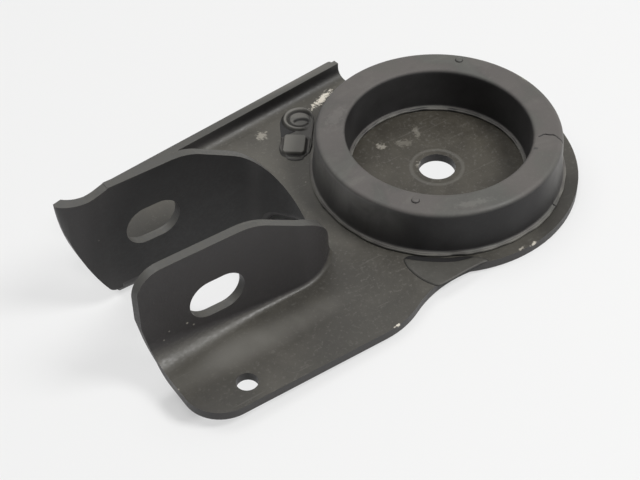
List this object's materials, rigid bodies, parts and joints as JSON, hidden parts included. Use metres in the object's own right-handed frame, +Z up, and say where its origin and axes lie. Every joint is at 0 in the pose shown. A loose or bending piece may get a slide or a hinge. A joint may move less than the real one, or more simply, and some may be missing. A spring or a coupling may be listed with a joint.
{
  "type": "jounce bumper",
  "caption": "Rubber bump-stop ring moulded onto a pressed steel bracket with two slotted upright ears and a turned-up back edge.",
  "frame": {"origin": "on the axis of the rubber ring and of the plate's round centre hole, in the plate's flat underside", "axes": "+Z up out of the plate along the ring's axis, +Y towards the turned-up back edge, -X towards the two ears"},
  "size_m": [0.1696, 0.1109, 0.047],
  "materials": {
    "coated_steel": "worn thin dark grey coating, satin, with light rubbed edges",
    "moulded_rubber": "matte, dusty on top, nearly black on its walls"
  },
  "bodies": {
    "root": {"pressed_bracket": "coated_steel", "rubber_ring": "moulded_rubber"}
  },
  "joints": []
}
